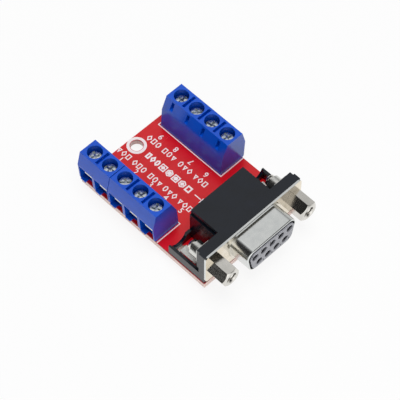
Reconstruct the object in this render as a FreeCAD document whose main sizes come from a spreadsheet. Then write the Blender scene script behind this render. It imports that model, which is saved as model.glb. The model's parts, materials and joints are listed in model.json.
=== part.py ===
import FreeCAD, Part
import math
import os
import Sketcher
from types import SimpleNamespace

# Adapter board from a right-angle 9-contact D-shaped socket to nine screw terminals.
# Origin: centre of the socket shell in the front plane of its flange. The socket
# faces -Y, the board lies flat below it, and +Z is up. All sizes in millimetres.
SIZES = {
    # Circuit board
    "board_width": 31.0,
    "board_length": 41.0,
    "board_setback": 0.3,
    "board_thickness": 1.6,
    "axis_height": 5.8,
    "mounting_hole_radius": 1.6,
    "mounting_hole_y": 38.9,
    "tail_length": 1.9,
    "lead_hole_clearance": 0.1,
    # Solder fillets under the board
    "solder_width": 0.45,
    "solder_height": 0.9,
    "solder_top_width": 0.05,
    # Terminal rows
    "pole_spacing": 5.08,
    "row_face": 16.2,
    "left_row_start": 16.2,
    "right_row_start": 18.8,
    "housing_depth": 8.0,
    "foot_inset": 0.85,
    "foot_height": 0.6,
    "face_inset": 0.35,
    "face_height": 6.0,
    "crown_inset": 1.0,
    "crown_back_inset": 2.1,
    "back_inset": 0.45,
    "back_height": 6.1,
    # Cell of one pole
    "cell_width": 4.3,
    "entry_height": 5.4,
    "entry_depth": 1.2,
    "cage_room_gap": 0.25,
    "ceiling_gap": 0.1,
    "back_wall": 0.85,
    "lead_room_height": 4.4,
    "collar_thickness": 0.6,
    "head_recess": 1.75,
    "groove_width": 0.8,
    "groove_margin": 0.45,
    "groove_depth": 1.2,
    "slot_width": 0.9,
    "slot_low": 7.2,
    "slot_high": 9.5,
    "slot_wall": 0.45,
    # Clamp cage
    "floor_gap": 0.3,
    "cage_travel": 1.9,
    "cage_wall": 0.6,
    "cage_top": 0.8,
    "cage_length": 3.5,
    "cage_side_gap": 0.2,
    "end_gap": 0.05,
    "cage_edge_radius": 0.3,
    "grip_groove_width": 0.3,
    "grip_groove_depth": 0.15,
    "grip_groove_spacing": 0.7,
    # Clamp screw
    "head_radius": 1.7,
    "head_height": 1.2,
    "head_gap": 0.15,
    "seat_gap": 0.05,
    "shank_radius": 1.25,
    "collar_gap": 0.2,
    "thread_gap": 0.05,
    "screw_chamfer": 0.25,
    "drive_width": 0.55,
    "drive_length": 3.0,
    "drive_cross": 2.1,
    "drive_depth": 0.6,
    "tip_gap": 0.1,
    # Terminal pin
    "pin_thickness": 0.7,
    "pin_side_gap": 0.15,
    "pin_front_gap": 0.35,
    "lead_width": 1.0,
    "lead_depth": 0.8,
    "lead_back_gap": 0.15,
    # Socket shell
    "flange_end": 2.905,
    "flange_height": 9.6,
    "flange_thickness": 0.5,
    "flange_corner": 0.8,
    "shell_width": 16.33,
    "shell_height": 7.9,
    "shell_length": 5.9,
    "shell_wall": 0.4,
    "shell_corner": 2.3,
    "shell_lip_radius": 0.3,
    "emboss_width": 0.7,
    "emboss_height": 0.35,
    # Insulator and contacts
    "insulator_gap": 0.1,
    "insulator_recess": 0.25,
    "insulator_rear_margin": 1.86,
    "insulator_rear_height": 8.0,
    "insulator_rear_length": 6.0,
    "contact_margin": 2.625,
    "contact_row_spacing": 2.84,
    "entry_radius": 0.7,
    "lead_in_depth": 0.5,
    "barrel_radius": 0.9,
    "barrel_gap": 0.05,
    "barrel_bore": 0.52,
    "barrel_bore_depth": 5.2,
    "tail_width": 0.6,
    "tail_thickness": 0.6,
    "tail_corner": 0.5,
    "front_tail_y": 8.1,
    "rear_tail_y": 10.1,
    # Rear housing
    "plate_thickness": 2.8,
    "plate_notch_width": 0.4,
    "plate_notch_depth": 1.0,
    "rear_block_wall": 1.25,
    "rear_block_end": 11.9,
    "cap_inset": 0.4,
    "cap_height": 1.55,
    "rear_wall": 1.2,
    "rear_top_wall": 1.1,
    "rear_room_gap": 0.1,
    "side_foot_height": 2.8,
    "side_foot_wall": 0.8,
    "side_foot_end": 12.1,
    "scoop_radius": 2.5,
    "scoop_depth": 1.85,
    # Jackscrews, straps and nuts
    "jack_offset": 4.335,
    "jack_flat_width": 4.75,
    "jack_length": 5.4,
    "jack_bore_radius": 1.3,
    "jack_bore_depth": 5.0,
    "jack_chamfer": 0.45,
    "jack_mouth_radius": 1.6,
    "jack_mouth_depth": 0.3,
    "stud_radius": 1.4,
    "stud_end": 7.6,
    "stud_gap": 0.15,
    "strap_thickness": 0.8,
    "strap_width": 3.8,
    "strap_top": 3.2,
    "strap_lift": 0.1,
    "tongue_width": 2.2,
    "tongue_y": 9.9,
    "tongue_slot": 0.7,
    "tongue_reach": 1.4,
    "tongue_hole_radius": 1.5,
    "nut_radius": 1.95,
    "nut_length": 2.3,
    "nut_gap": 0.05,
}


class Size:
    """A length that knows its number now and the sheet formula that gives it."""

    def __init__(self, number, text):
        self.number = number
        self.text = text

    def __add__(self, other):
        other = as_size(other)
        return Size(self.number + other.number, f"({self.text} + {other.text})")

    def __sub__(self, other):
        other = as_size(other)
        return Size(self.number - other.number, f"({self.text} - {other.text})")

    def __mul__(self, factor):
        factor = as_size(factor)
        return Size(self.number * factor.number, f"({self.text} * {factor.text})")

    def __truediv__(self, factor):
        factor = as_size(factor)
        return Size(self.number / factor.number, f"({self.text} / {factor.text})")

    def __neg__(self):
        return Size(-self.number, f"(0 - {self.text})")

    def __radd__(self, other):
        return as_size(other) + self

    def __rsub__(self, other):
        return as_size(other) - self

    def __rmul__(self, factor):
        return as_size(factor) * self


def as_size(value):
    if isinstance(value, Size):
        return value
    return Size(float(value), str(float(value)))


def diagonal(width, depth):
    return Size(math.hypot(width.number, depth.number), f"hypot({width.text}; {depth.text})")


doc = FreeCAD.newDocument("terminal_adapter")
sheet = doc.addObject("Spreadsheet::Sheet", "Sizes")
for row, (alias, number) in enumerate(SIZES.items(), start=1):
    sheet.set(f"A{row}", alias.replace("_", " "))
    sheet.set(f"B{row}", str(number))
    sheet.setAlias(f"B{row}", alias)
doc.recompute()
mm = SimpleNamespace(**{alias: Size(number, f"Sizes.{alias}") for alias, number in SIZES.items()})
subparts = []


# Helpers that tie features to the sheet

def bind(feature, prop, value):
    feature.setExpression(prop, as_size(value).text)


def place(item, x=0, y=0, z=0, turn=0):
    item.Placement = FreeCAD.Placement(FreeCAD.Vector(), FreeCAD.Rotation(FreeCAD.Vector(0, 0, 1), turn))
    for axis, value in (("x", x), ("y", y), ("z", z)):
        bind(item, f"Placement.Base.{axis}", value)


def new_body(label):
    body = doc.addObject("PartDesign::Body", label)
    body.Label = label
    subparts.append(body)
    return body


def sketch_on(body, role, offset=0):
    sketch = body.newObject("Sketcher::SketchObject", f"{body.Name}_sketch")
    plane = [feature for feature in body.Origin.OriginFeatures if feature.Role == role][0]
    sketch.AttachmentSupport = [(plane, "")]
    sketch.MapMode = "FlatFace"
    bind(sketch, "AttachmentOffset.Base.z", offset)
    return sketch


def pin_point(sketch, geometry, point, x, y):
    """Ties one point of a sketch to the sheet, from the sketch's own origin."""
    for kind, axis, value in (("DistanceX", -2, x), ("DistanceY", -1, y)):
        value = as_size(value)
        if value.number == 0:
            sketch.addConstraint(Sketcher.Constraint("PointOnObject", geometry, point, axis))
            continue
        index = sketch.addConstraint(Sketcher.Constraint(kind, -1, 1, geometry, point, value.number))
        bind(sketch, f"Constraints[{index}]", value)


def flat_vector(x, y):
    return FreeCAD.Vector(as_size(x).number, as_size(y).number, 0)


def arc_between(here, there, centre):
    """Counter-clockwise arc from one point to another round a centre."""
    start = math.atan2(here.y - centre.y, here.x - centre.x)
    end = math.atan2(there.y - centre.y, there.x - centre.x)
    ring = Part.Circle(centre, FreeCAD.Vector(0, 0, 1), (here - centre).Length)
    return Part.ArcOfCircle(ring, start, end)


def polygon(sketch, points, bends=None):
    """Closed outline; bends gives (centre x, centre y, radius) after a point's index."""
    bends = bends or {}
    first = sketch.GeometryCount
    corners = [flat_vector(x, y) for x, y in points]
    for i, (here, there) in enumerate(zip(corners, corners[1:] + corners[:1])):
        if i in bends:
            centre_x, centre_y, radius = bends[i]
            sketch.addGeometry(arc_between(here, there, flat_vector(centre_x, centre_y)), False)
        else:
            sketch.addGeometry(Part.LineSegment(here, there), False)
    for i, (x, y) in enumerate(points):
        following = first + (i + 1) % len(points)
        sketch.addConstraint(Sketcher.Constraint("Coincident", first + i, 2, following, 1))
        pin_point(sketch, first + i, 1, x, y)
    for i, (centre_x, centre_y, radius) in bends.items():
        index = sketch.addConstraint(Sketcher.Constraint("Radius", first + i, radius.number))
        bind(sketch, f"Constraints[{index}]", radius)


def rectangle(sketch, low_x, high_x, low_y, high_y):
    polygon(sketch, [(low_x, low_y), (high_x, low_y), (high_x, high_y), (low_x, high_y)])


def circle(sketch, x, y, radius):
    number = as_size(radius).number
    ring = Part.Circle(flat_vector(x, y), FreeCAD.Vector(0, 0, 1), number)
    geometry = sketch.addGeometry(ring, False)
    pin_point(sketch, geometry, 3, x, y)
    index = sketch.addConstraint(Sketcher.Constraint("Radius", geometry, number))
    bind(sketch, f"Constraints[{index}]", radius)


def pad(body, sketch, length, backward=False, both_sides=False):
    feature = body.newObject("PartDesign::Pad", f"{body.Name}_pad")
    feature.Profile = sketch
    feature.Reversed = backward
    feature.SideType = "Symmetric" if both_sides else "One side"
    bind(feature, "Length", length)
    return feature


def pocket(body, sketch, length, backward=False, both_sides=False):
    feature = body.newObject("PartDesign::Pocket", f"{body.Name}_pocket")
    feature.Profile = sketch
    feature.Reversed = backward
    feature.SideType = "Symmetric" if both_sides else "One side"
    bind(feature, "Length", length)
    return feature


def revolve(body, sketch):
    feature = body.newObject("PartDesign::Revolution", f"{body.Name}_turned")
    feature.Profile = sketch
    feature.ReferenceAxis = (sketch, ["V_Axis"])
    feature.Angle = 360
    return feature


def repeat(body, features, axis_role, spacing, count):
    if count < 2:
        return
    pattern = body.newObject("PartDesign::LinearPattern", f"{body.Name}_row")
    pattern.Originals = features
    axis = [feature for feature in body.Origin.OriginFeatures if feature.Role == axis_role][0]
    pattern.Direction = (axis, [""])
    pattern.Mode = "Spacing"
    pattern.Occurrences = count
    bind(pattern, "Offset", spacing)
    body.Tip = pattern


def round_edges(body, base, radius, chosen):
    """Fillets the edges of the base feature that the chosen test picks."""
    doc.recompute()
    names = [f"Edge{i}" for i, edge in enumerate(base.Shape.Edges, start=1) if chosen(edge)]
    feature = body.newObject("PartDesign::Fillet", f"{body.Name}_fillet")
    feature.Base = (base, names)
    bind(feature, "Radius", radius)
    return feature


def runs_along(edge, axis):
    if edge.Curve.TypeId != "Part::GeomLine":
        return False
    return abs(abs(edge.Curve.Direction.dot(axis)) - 1) < 1e-6


def middle(edge):
    return edge.CenterOfMass


# Heights and depths that several pieces share

board_top = -mm.axis_height
board_bottom = board_top - mm.board_thickness
lead_end = board_bottom - mm.tail_length
cage_inner_height = mm.pin_thickness + mm.cage_travel + 2 * mm.end_gap
cage_height = mm.cage_wall + cage_inner_height + mm.cage_top
cage_rest = mm.floor_gap + mm.cage_travel
cage_ceiling = cage_rest + cage_height + mm.ceiling_gap
screw_seat = cage_ceiling + mm.collar_thickness
housing_height = screw_seat + mm.seat_gap + mm.head_height + mm.head_recess
pin_height = cage_rest + mm.cage_wall + mm.end_gap
crown_end = mm.housing_depth - mm.crown_back_inset
screw_u = (mm.crown_inset + crown_end) / 2
cage_width = mm.cell_width - 2 * mm.cage_side_gap
pin_width = cage_width - 2 * mm.cage_wall - 2 * mm.pin_side_gap
lead_back_u = mm.housing_depth - mm.back_wall - mm.lead_back_gap
lead_u = lead_back_u - mm.lead_depth / 2
lead_hole_radius = diagonal(mm.lead_width, mm.lead_depth) / 2 + mm.lead_hole_clearance
plate_front = mm.flange_thickness
plate_back = plate_front + mm.plate_thickness
flange_top = mm.flange_height / 2
jack_x = mm.shell_width / 2 + mm.jack_offset
flange_half = jack_x + mm.flange_end
tail_hole_radius = diagonal(mm.tail_width, mm.tail_thickness) / 2 + mm.lead_hole_clearance

# Each pole as (number, side, distance along its row). Poles 1 to 5 stand on the
# left with 5 next to the socket, and poles 6 to 9 on the right with 6 next to it.
LEFT, RIGHT = -1, 1
poles = [(5 - i, LEFT, i) for i in range(5)] + [(6 + i, RIGHT, i) for i in range(4)]
row_start = {LEFT: mm.left_row_start, RIGHT: mm.right_row_start}


def pole_y(side, place_in_row):
    return row_start[side] + mm.pole_spacing * (place_in_row + 0.5)


def from_face(side, depth):
    """The x that lies a depth inward from the outer face of a terminal row."""
    return (mm.row_face - depth) * side


# Angles in degrees: the lean of the shell's two ends, how far each jackscrew came
# to rest when it was tightened, and where the nine clamp screws' drives stopped
D_END_SLOPE = 10
JACK_TURN = {LEFT: 7, RIGHT: 27}
SCREW_TURN = 25
SCREW_TURN_STEP = 37
HEXAGON_SIDES = 6

# Contact holes of the socket: five above, four below, seen from the front
UPPER, LOWER = 1, -1
CONTACTS_IN_ROW = {UPPER: 5, LOWER: 4}
tail_y = {UPPER: mm.rear_tail_y, LOWER: mm.front_tail_y}
end_contact_x = mm.shell_width / 2 - mm.contact_margin
contact_step = 2 * end_contact_x / (CONTACTS_IN_ROW[UPPER] - 1)
contacts = [(row, contact_step * (i - (count - 1) / 2), tail_y[row])
            for row, count in CONTACTS_IN_ROW.items() for i in range(count)]
insulator_rear_half = end_contact_x + mm.insulator_rear_margin


def make_board():
    body = new_body("circuit_board")
    outline = sketch_on(body, "XY_Plane", board_bottom)
    rectangle(outline, -mm.board_width / 2, mm.board_width / 2,
              mm.board_setback, mm.board_setback + mm.board_length)
    pad(body, outline, mm.board_thickness)
    holes = sketch_on(body, "XY_Plane", board_top)
    circle(holes, 0, mm.mounting_hole_y, mm.mounting_hole_radius)
    for number, side, place_in_row in poles:
        circle(holes, from_face(side, lead_u), pole_y(side, place_in_row), lead_hole_radius)
    for row, x, tail_y in contacts:
        circle(holes, x, tail_y, tail_hole_radius)
    for side in (LEFT, RIGHT):
        circle(holes, side * jack_x, mm.tongue_y, mm.tongue_hole_radius)
    pocket(body, holes, mm.board_thickness)


def make_terminal_housing(label, pole_count, side, first_pole):
    """Moulded housing: u runs inward from the wire face, y along the row, z up."""
    body = new_body(label)
    profile = sketch_on(body, "XZ_Plane")
    polygon(profile, [
        (mm.foot_inset, 0),
        (mm.face_inset, mm.foot_height),
        (0, mm.face_height),
        (mm.crown_inset, housing_height),
        (crown_end, housing_height),
        (mm.housing_depth - mm.back_inset, mm.back_height),
        (mm.housing_depth, 0),
    ])
    pad(body, profile, mm.pole_spacing * pole_count, backward=True)

    # Cell of the first pole, cut along the row from its own middle plane
    centre = mm.pole_spacing / 2
    wire_entry = sketch_on(body, "XZ_Plane", -centre)
    cage_end = screw_u + mm.cage_length / 2 + mm.cage_room_gap
    rectangle(wire_entry, -mm.entry_depth, mm.entry_depth, -mm.entry_depth, mm.entry_height)
    entry_cut = pocket(body, wire_entry, mm.cell_width, both_sides=True)
    cage_room = sketch_on(body, "XZ_Plane", -centre)
    polygon(cage_room, [
        (mm.entry_depth, -mm.entry_depth),
        (mm.housing_depth - mm.back_wall, -mm.entry_depth),
        (mm.housing_depth - mm.back_wall, mm.lead_room_height),
        (cage_end, mm.lead_room_height),
        (cage_end, cage_ceiling),
        (mm.entry_depth, cage_ceiling),
    ])
    room_cut = pocket(body, cage_room, mm.cell_width, both_sides=True)

    # Screw bore over its collar, and the narrow slot in the sloped back
    bore = sketch_on(body, "XY_Plane", housing_height)
    circle(bore, screw_u, centre, mm.head_radius + mm.head_gap)
    bore_cut = pocket(body, bore, housing_height - screw_seat)
    collar = sketch_on(body, "XY_Plane", screw_seat)
    circle(collar, screw_u, centre, mm.shank_radius + mm.collar_gap)
    collar_cut = pocket(body, collar, mm.collar_thickness)
    slot = sketch_on(body, "XZ_Plane", -centre)
    slot_floor = screw_u + mm.head_radius + mm.head_gap + mm.slot_wall
    rectangle(slot, slot_floor, mm.housing_depth, mm.slot_low, mm.slot_high)
    slot_cut = pocket(body, slot, mm.slot_width, both_sides=True)
    repeat(body, [entry_cut, room_cut, bore_cut, collar_cut, slot_cut], "Y_Axis", mm.pole_spacing, pole_count)

    # Groove across the crown between each pole and the next
    groove = sketch_on(body, "XY_Plane", housing_height)
    rectangle(groove, mm.crown_inset + mm.groove_margin, crown_end - mm.groove_margin,
              mm.pole_spacing - mm.groove_width / 2, mm.pole_spacing + mm.groove_width / 2)
    groove_cut = pocket(body, groove, mm.groove_depth)
    repeat(body, [groove_cut], "Y_Axis", mm.pole_spacing, pole_count - 1)

    start = row_start[side] + mm.pole_spacing * first_pole
    if side == LEFT:
        place(body, -mm.row_face, start, board_top)
    else:
        place(body, mm.row_face, start + mm.pole_spacing * pole_count, board_top, turn=180)


def make_clamp_screw(number, side, place_in_row):
    """Cheese-head screw that turns on the collar and never rises."""
    body = new_body(f"clamp_screw_{number}")
    shank_length = screw_seat + mm.seat_gap - pin_height - mm.pin_thickness - mm.tip_gap
    profile = sketch_on(body, "XZ_Plane")
    polygon(profile, [
        (0, -shank_length),
        (mm.shank_radius - mm.screw_chamfer, -shank_length),
        (mm.shank_radius, mm.screw_chamfer - shank_length),
        (mm.shank_radius, 0),
        (mm.head_radius, 0),
        (mm.head_radius, mm.head_height - mm.screw_chamfer),
        (mm.head_radius - mm.screw_chamfer, mm.head_height),
        (0, mm.head_height),
    ])
    revolve(body, profile)
    drive = sketch_on(body, "XY_Plane", mm.head_height)
    half = mm.drive_width / 2
    polygon(drive, [
        (mm.drive_length / 2, -half), (mm.drive_length / 2, half),
        (half, half), (half, mm.drive_cross / 2),
        (-half, mm.drive_cross / 2), (-half, half),
        (-mm.drive_length / 2, half), (-mm.drive_length / 2, -half),
        (-half, -half), (-half, -mm.drive_cross / 2),
        (half, -mm.drive_cross / 2), (half, -half),
    ])
    pocket(body, drive, mm.drive_depth)
    seat = board_top + screw_seat + mm.seat_gap
    turn = SCREW_TURN + SCREW_TURN_STEP * number
    place(body, from_face(side, screw_u), pole_y(side, place_in_row), seat, turn=turn)


def make_clamp_cage(number, side, place_in_row):
    """Square tube across the row: the screw's thread in its roof lifts it."""
    body = new_body(f"clamp_cage_{number}")
    section = sketch_on(body, "YZ_Plane")
    inner = cage_width / 2 - mm.cage_wall
    rectangle(section, -cage_width / 2, cage_width / 2, 0, cage_height)
    rectangle(section, -inner, inner, mm.cage_wall, mm.cage_wall + cage_inner_height)
    tube = pad(body, section, mm.cage_length, both_sides=True)
    reach = cage_width.number / 2 - 0.01
    tube = round_edges(body, tube, mm.cage_edge_radius,
                       lambda edge: runs_along(edge, FreeCAD.Vector(1, 0, 0)) and abs(middle(edge).y) > reach)
    thread = sketch_on(body, "XY_Plane", cage_height)
    circle(thread, 0, 0, mm.shank_radius + mm.thread_gap)
    pocket(body, thread, mm.cage_top)

    # Grooves across the cage's floor grip the wire
    groove = sketch_on(body, "XY_Plane", mm.cage_wall)
    for step in (-1, 0, 1):
        groove_low = step * mm.grip_groove_spacing - mm.grip_groove_width / 2
        rectangle(groove, groove_low, groove_low + mm.grip_groove_width, -inner, inner)
    pocket(body, groove, mm.grip_groove_depth)
    place(body, from_face(side, screw_u), pole_y(side, place_in_row), board_top + cage_rest)


def make_terminal_pin(number, side, place_in_row):
    """Bent strip: a plate through the cage and a lead down through the board."""
    body = new_body(f"terminal_pin_{number}")
    front = screw_u - mm.cage_length / 2 + mm.pin_front_gap
    plate = sketch_on(body, "XY_Plane", pin_height)
    rectangle(plate, front, lead_back_u, -pin_width / 2, pin_width / 2)
    pad(body, plate, mm.pin_thickness)
    lead = sketch_on(body, "XY_Plane", pin_height)
    rectangle(lead, lead_back_u - mm.lead_depth, lead_back_u, -mm.lead_width / 2, mm.lead_width / 2)
    pad(body, lead, pin_height + mm.board_thickness + mm.tail_length, backward=True)
    turn = 0 if side == LEFT else 180
    place(body, side * mm.row_face, pole_y(side, place_in_row), board_top, turn=turn)


def d_outline(sketch, half_width, half_height, radius):
    """D shape with its wide side up: two ends slope inward and every corner is round."""
    slope = math.radians(D_END_SLOPE)
    narrow = half_width - 2 * half_height * math.tan(slope)
    wide_cut = radius / math.tan(math.radians(90 - D_END_SLOPE) / 2)
    narrow_cut = radius / math.tan(math.radians(90 + D_END_SLOPE) / 2)
    right = [
        (narrow - narrow_cut, -half_height),
        (narrow + narrow_cut * math.sin(slope), narrow_cut * math.cos(slope) - half_height),
        (half_width - wide_cut * math.sin(slope), half_height - wide_cut * math.cos(slope)),
        (half_width - wide_cut, half_height),
    ]
    left = [(-x, y) for x, y in reversed(right)]
    low_centre = radius - half_height
    high_centre = half_height - radius
    polygon(sketch, right + left, bends={
        0: (narrow - narrow_cut, low_centre, radius),
        2: (half_width - wide_cut, high_centre, radius),
        4: (wide_cut - half_width, high_centre, radius),
        6: (narrow_cut - narrow, low_centre, radius),
    })


def make_socket_shell():
    body = new_body("socket_shell")
    along = FreeCAD.Vector(0, 1, 0)
    flange = sketch_on(body, "XZ_Plane")
    rectangle(flange, -flange_half, flange_half, -flange_top, flange_top)
    plate = pad(body, flange, mm.flange_thickness, backward=True)
    round_edges(body, plate, mm.flange_corner, lambda edge: runs_along(edge, along))

    # Drawn shell with its rolled front edge, and the raised border round its root
    half_width = mm.shell_width / 2
    half_height = mm.shell_height / 2
    outer = sketch_on(body, "XZ_Plane")
    d_outline(outer, half_width, half_height, mm.shell_corner)
    drawn = pad(body, outer, mm.shell_length)
    front = -mm.shell_length.number
    round_edges(body, drawn, mm.shell_lip_radius, lambda edge: middle(edge).y < front + 0.001)
    border = sketch_on(body, "XZ_Plane")
    d_outline(border, half_width + mm.emboss_width, half_height + mm.emboss_width,
              mm.shell_corner + mm.emboss_width)
    pad(body, border, mm.emboss_height)
    inner = sketch_on(body, "XZ_Plane", mm.shell_length)
    d_outline(inner, half_width - mm.shell_wall, half_height - mm.shell_wall,
              mm.shell_corner - mm.shell_wall)
    pocket(body, inner, mm.shell_length + mm.flange_thickness)
    screw_holes = sketch_on(body, "XZ_Plane")
    for side in (LEFT, RIGHT):
        circle(screw_holes, side * jack_x, 0, mm.stud_radius + mm.stud_gap)
    pocket(body, screw_holes, mm.flange_thickness)


def make_insulator():
    body = new_body("contact_insulator")
    front_depth = mm.shell_length - mm.insulator_recess
    margin = mm.shell_wall + mm.insulator_gap
    nose = sketch_on(body, "XZ_Plane", front_depth)
    d_outline(nose, mm.shell_width / 2 - margin, mm.shell_height / 2 - margin, mm.shell_corner - margin)
    pad(body, nose, front_depth + plate_front, backward=True)
    rear = sketch_on(body, "XZ_Plane", -plate_front)
    half_height = mm.insulator_rear_height / 2
    rectangle(rear, -insulator_rear_half, insulator_rear_half, -half_height, half_height)
    pad(body, rear, mm.insulator_rear_length, backward=True)
    mouths = sketch_on(body, "XZ_Plane", front_depth)
    for row, x, tail_y in contacts:
        circle(mouths, x, row * mm.contact_row_spacing / 2, mm.entry_radius)
    pocket(body, mouths, mm.lead_in_depth)
    seats = sketch_on(body, "XZ_Plane", front_depth - mm.lead_in_depth)
    for row, x, tail_y in contacts:
        circle(seats, x, row * mm.contact_row_spacing / 2, mm.barrel_radius + mm.barrel_gap)
    pocket(body, seats, front_depth - mm.lead_in_depth + plate_front + mm.insulator_rear_length)


def make_contact(number, row, x, tail_y):
    """Bored barrel in the insulator, and a flat tail bent down to the board."""
    body = new_body(f"socket_contact_{number}")
    front_depth = mm.shell_length - mm.insulator_recess - mm.lead_in_depth - mm.barrel_gap
    barrel_back = plate_front + mm.insulator_rear_length - mm.tail_thickness
    barrel = sketch_on(body, "XZ_Plane", front_depth)
    circle(barrel, 0, 0, mm.barrel_radius)
    pad(body, barrel, front_depth + barrel_back, backward=True)
    bore = sketch_on(body, "XZ_Plane", front_depth)
    circle(bore, 0, 0, mm.barrel_bore)
    pocket(body, bore, mm.barrel_bore_depth)
    half = mm.tail_thickness / 2
    height = row * mm.contact_row_spacing / 2
    drop = lead_end - height
    tail = sketch_on(body, "YZ_Plane")
    polygon(tail, [
        (barrel_back, half),
        (barrel_back, -half),
        (tail_y - half - mm.tail_corner, -half),
        (tail_y - half, -half - mm.tail_corner),
        (tail_y - half, drop),
        (tail_y + half, drop),
        (tail_y + half, half - 2 * mm.tail_corner),
        (tail_y + half - 2 * mm.tail_corner, half),
    ])
    pad(body, tail, mm.tail_width, both_sides=True)
    place(body, x, 0, height)


def make_rear_housing():
    """Black moulding: flange backing plate, covered rear block and two open feet."""
    body = new_body("rear_housing")
    plate = sketch_on(body, "XZ_Plane", -plate_front)
    rectangle(plate, -flange_half, flange_half, board_top, flange_top)
    pad(body, plate, mm.plate_thickness, backward=True)
    notches = sketch_on(body, "XZ_Plane", mm.plate_notch_depth - plate_back)
    for side in (LEFT, RIGHT):
        edge = flange_half - mm.plate_notch_width
        ends = sorted([side * flange_half, side * edge], key=lambda size: size.number)
        rectangle(notches, ends[0], ends[1], board_top + mm.side_foot_height, flange_top)
    pocket(body, notches, mm.plate_notch_depth)

    # Two feet, each an outer wall and a back wall round an open floor
    half_block = insulator_rear_half + mm.rear_room_gap + mm.rear_block_wall
    inner = flange_half - mm.side_foot_wall
    back = mm.side_foot_end - mm.side_foot_wall
    for side in (LEFT, RIGHT):
        foot = sketch_on(body, "XY_Plane", board_top)
        polygon(foot, [
            (side * flange_half, plate_back),
            (side * flange_half, mm.side_foot_end),
            (side * half_block, mm.side_foot_end),
            (side * half_block, back),
            (side * inner, back),
            (side * inner, plate_back),
        ])
        pad(body, foot, mm.side_foot_height)

    # Round scoop in the back wall of each foot, where the strap's tongue is reached
    scoops = sketch_on(body, "XZ_Plane", -back)
    scoop_centre = board_top + mm.side_foot_height - mm.scoop_depth + mm.scoop_radius
    for side in (LEFT, RIGHT):
        circle(scoops, side * jack_x, scoop_centre, mm.scoop_radius)
    pocket(body, scoops, mm.side_foot_wall)

    # Block over the tails under its narrower cap, hollow from below
    block = sketch_on(body, "XZ_Plane", -plate_back)
    cap_half = half_block - mm.cap_inset
    ledge = flange_top - mm.cap_height
    polygon(block, [
        (half_block, board_top),
        (half_block, ledge),
        (cap_half, ledge),
        (cap_half, flange_top),
        (-cap_half, flange_top),
        (-cap_half, ledge),
        (-half_block, ledge),
        (-half_block, board_top),
    ])
    pad(body, block, mm.rear_block_end - plate_back, backward=True)
    room_half = half_block - mm.rear_wall
    room = sketch_on(body, "XY_Plane", board_top)
    rectangle(room, -room_half, room_half, plate_back, mm.rear_block_end - mm.rear_wall)
    pocket(body, room, flange_top - mm.rear_top_wall - board_top, backward=True)
    way = sketch_on(body, "XZ_Plane", -plate_front)
    half_width = insulator_rear_half + mm.rear_room_gap
    half_height = mm.insulator_rear_height / 2 + mm.rear_room_gap
    rectangle(way, -half_width, half_width, -half_height, half_height)
    pocket(body, way, mm.insulator_rear_length, backward=False)
    screw_holes = sketch_on(body, "XZ_Plane", -plate_front)
    for side in (LEFT, RIGHT):
        circle(screw_holes, side * jack_x, 0, mm.stud_radius + mm.stud_gap)
    pocket(body, screw_holes, mm.plate_thickness)


def make_jackscrew(label, side):
    """Turned hexagon standoff with a countersunk tapped bore and a stud behind it."""
    body = new_body(label)
    outer = mm.jack_flat_width / 2 / math.cos(math.pi / HEXAGON_SIDES)
    profile = sketch_on(body, "XY_Plane")
    polygon(profile, [
        (0, mm.jack_bore_depth - mm.jack_length),
        (mm.jack_bore_radius, mm.jack_bore_depth - mm.jack_length),
        (mm.jack_bore_radius, mm.jack_mouth_depth - mm.jack_length),
        (mm.jack_mouth_radius, -mm.jack_length),
        (mm.jack_flat_width / 2 - mm.jack_chamfer / 2, -mm.jack_length),
        (outer, -mm.jack_length + mm.jack_chamfer),
        (outer, 0),
        (mm.stud_radius, 0),
        (mm.stud_radius, mm.stud_end - mm.screw_chamfer),
        (mm.stud_radius - mm.screw_chamfer, mm.stud_end),
        (0, mm.stud_end),
    ])
    revolve(body, profile)

    # Six flats: each cut takes off what lies beyond one flat
    flats = sketch_on(body, "XZ_Plane", mm.jack_length)
    half_side = mm.jack_flat_width / 2
    rectangle(flats, -outer, outer, half_side, outer)
    flat = pocket(body, flats, mm.jack_length)
    around = body.newObject("PartDesign::PolarPattern", f"{body.Name}_flats")
    around.Originals = [flat]
    axis = [feature for feature in body.Origin.OriginFeatures if feature.Role == "Y_Axis"][0]
    around.Axis = (axis, [""])
    around.Angle = 360
    around.Occurrences = HEXAGON_SIDES
    body.Tip = around
    place(body, side * jack_x, 0, 0)
    body.Placement.Rotation = FreeCAD.Rotation(FreeCAD.Vector(0, 1, 0), JACK_TURN[side])


def make_strap(label, side):
    """Bent metal strap: an upright behind the plate and a tongue down into the board."""
    body = new_body(label)
    low = board_top + mm.strap_lift
    upright = sketch_on(body, "XZ_Plane", -plate_back)
    rectangle(upright, -mm.strap_width / 2, mm.strap_width / 2, low, mm.strap_top)
    circle(upright, 0, 0, mm.stud_radius + mm.stud_gap)
    pad(body, upright, mm.strap_thickness, backward=True)
    tongue = sketch_on(body, "YZ_Plane")
    back = mm.tongue_y + mm.strap_thickness / 2
    inner = back - mm.strap_thickness
    polygon(tongue, [
        (plate_back, low),
        (inner, low),
        (inner, board_bottom - mm.tongue_reach),
        (back, board_bottom - mm.tongue_reach),
        (back, low + mm.strap_thickness),
        (plate_back, low + mm.strap_thickness),
    ])
    pad(body, tongue, mm.tongue_width, both_sides=True)
    prong_gap = sketch_on(body, "XZ_Plane", -inner)
    rectangle(prong_gap, -mm.tongue_slot / 2, mm.tongue_slot / 2,
              board_bottom - 2 * mm.tongue_reach, board_top)
    pocket(body, prong_gap, mm.strap_thickness)
    place(body, side * jack_x, 0, 0)


def make_nut(label, side):
    """Round clinch nut behind the strap, on the jackscrew's stud."""
    body = new_body(label)
    ring = sketch_on(body, "XZ_Plane", -plate_back - mm.strap_thickness)
    circle(ring, 0, 0, mm.nut_radius)
    circle(ring, 0, 0, mm.stud_radius + mm.nut_gap)
    pad(body, ring, mm.nut_length, backward=True)
    place(body, side * jack_x, 0, 0)


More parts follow.
